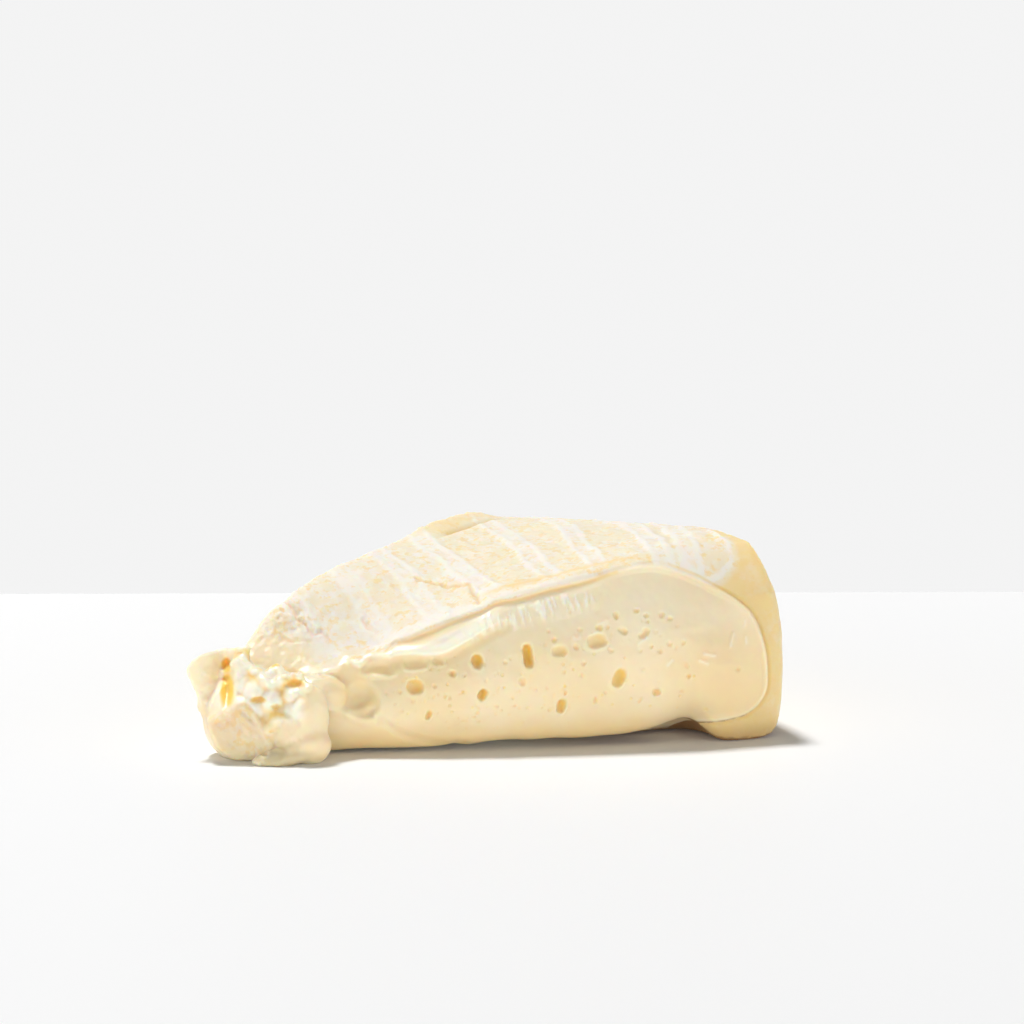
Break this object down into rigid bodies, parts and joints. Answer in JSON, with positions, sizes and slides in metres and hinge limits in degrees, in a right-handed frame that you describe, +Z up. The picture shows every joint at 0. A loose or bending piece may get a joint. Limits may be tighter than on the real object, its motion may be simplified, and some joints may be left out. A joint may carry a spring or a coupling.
{
  "type": "cheese wedge",
  "caption": "Wedge of soft, bloomy-rind cheese with a bulging cut face, small eyes, a sagging top and a collapsed, runny point.",
  "frame": {"origin": "centre of the bounding box at the level of the surface the wedge rests on", "axes": "+X along the middle of the wedge, from its point to its outer rind; +Y towards the cut face that is hidden in the picture; +Z up"},
  "size_m": [0.1222, 0.0934, 0.039],
  "materials": {
    "cheese": "satin"
  },
  "bodies": {
    "root": {"cheese_wedge": "cheese"}
  },
  "joints": []
}
